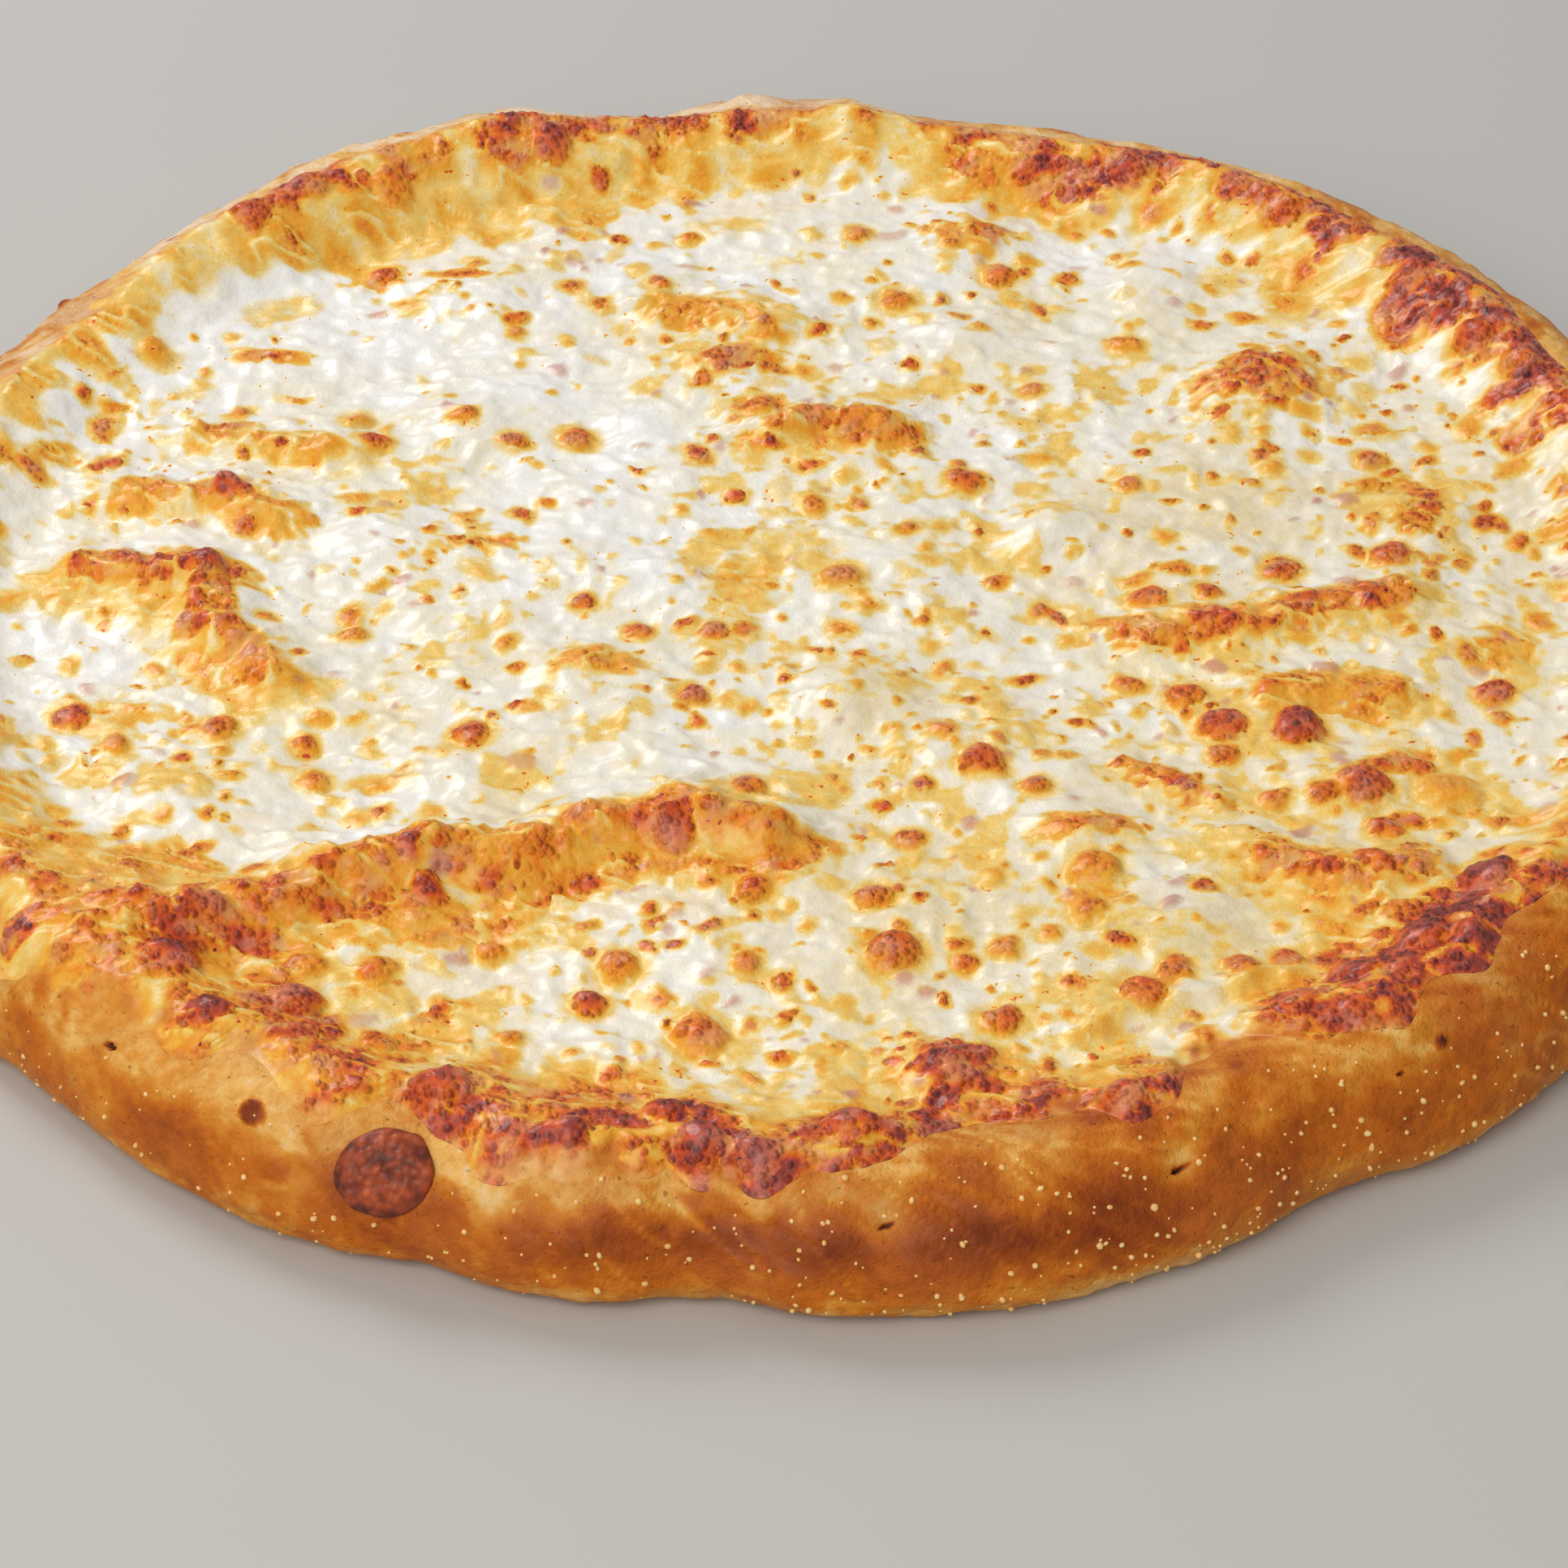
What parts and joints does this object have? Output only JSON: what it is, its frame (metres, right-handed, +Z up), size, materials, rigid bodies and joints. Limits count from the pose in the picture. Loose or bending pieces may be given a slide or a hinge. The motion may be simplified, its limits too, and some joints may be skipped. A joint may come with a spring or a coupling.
{
  "type": "double decker pizza",
  "caption": "Whole round pizza with a thick, high golden crust and lumpy melted cheese, toasted in blisters and patches, lying flat on its base.",
  "frame": {"origin": "on the table plane under the middle of the pizza", "axes": "+Z up, flat base on z = 0; -Y is the side nearest the camera in the picture, +X is to the camera's right"},
  "size_m": [0.3597, 0.3582, 0.031],
  "materials": {
    "crust": "baked golden brown dough, dusted with cornmeal",
    "cheese": "melted mozzarella, cream with orange and brown toasting, slightly oily",
    "burnt_cheese": "dark brown burnt cheese, slightly glossy"
  },
  "bodies": {
    "root": {"crust": "crust", "cheese": "cheese", "burnt_drop": "burnt_cheese"}
  },
  "joints": []
}
